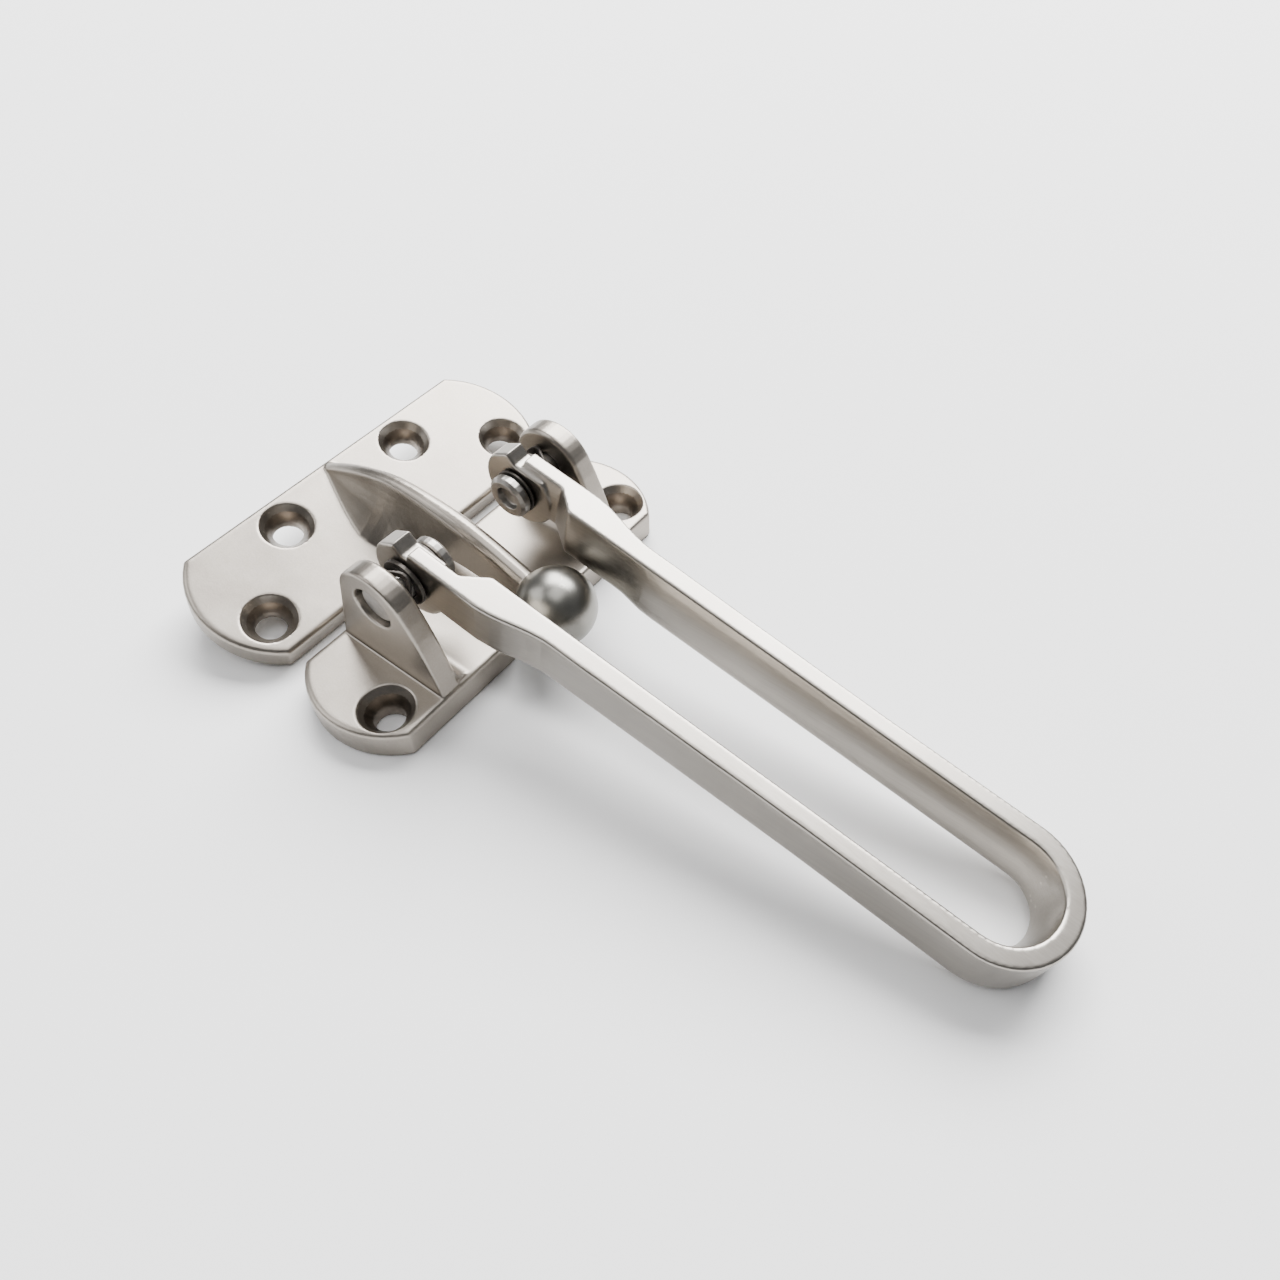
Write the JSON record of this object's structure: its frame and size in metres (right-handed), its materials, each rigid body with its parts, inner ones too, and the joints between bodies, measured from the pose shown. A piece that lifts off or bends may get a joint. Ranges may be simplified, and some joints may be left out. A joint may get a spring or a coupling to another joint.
{
  "type": "swing bar door guard",
  "caption": "Two-piece swing bar door guard: a hinge base with a long U-shaped bar, and a door plate whose finned arm ends in a ball that the bar's slot catches.",
  "frame": {"origin": "on the back face of the hinge base, straight under the pivot axis of the bar and midway between the lugs", "axes": "+Z out of the surface that the hinge base is screwed to, +X from the pivots towards the loop of the unlocked bar, +Y along both plates"},
  "size_m": [0.1457, 0.0696, 0.0254],
  "materials": {
    "satin_nickel": "satin",
    "brushed_nickel": "brushed",
    "rivet_steel": "satin",
    "spring_steel": "satin"
  },
  "bodies": {
    "base": {"hinge_base": "satin_nickel", "pivot_rivet_near": "rivet_steel", "inner_washer_near": "rivet_steel", "outer_washer_near": "rivet_steel", "wave_spring_near": "spring_steel", "pivot_rivet_far": "rivet_steel", "inner_washer_far": "rivet_steel", "outer_washer_far": "rivet_steel", "wave_spring_far": "spring_steel"},
    "bar": {"swing_bar": "brushed_nickel"},
    "door_plate": {"ball_plate": "satin_nickel"}
  },
  "joints": [
    {"name": "swing_bar_turn", "type": "hinge", "parent": "base", "child": "bar", "pos_m": [0, 0, 0.01865], "axis": [0, -1, 0], "range_deg": [0, 188]},
    {"name": "ball_plate_rock", "type": "hinge", "parent": "base", "child": "door_plate", "pos_m": [-0.0157, 0, 0.00005], "axis": [0, -1, 0], "range_deg": [0, 15.8]}
  ]
}
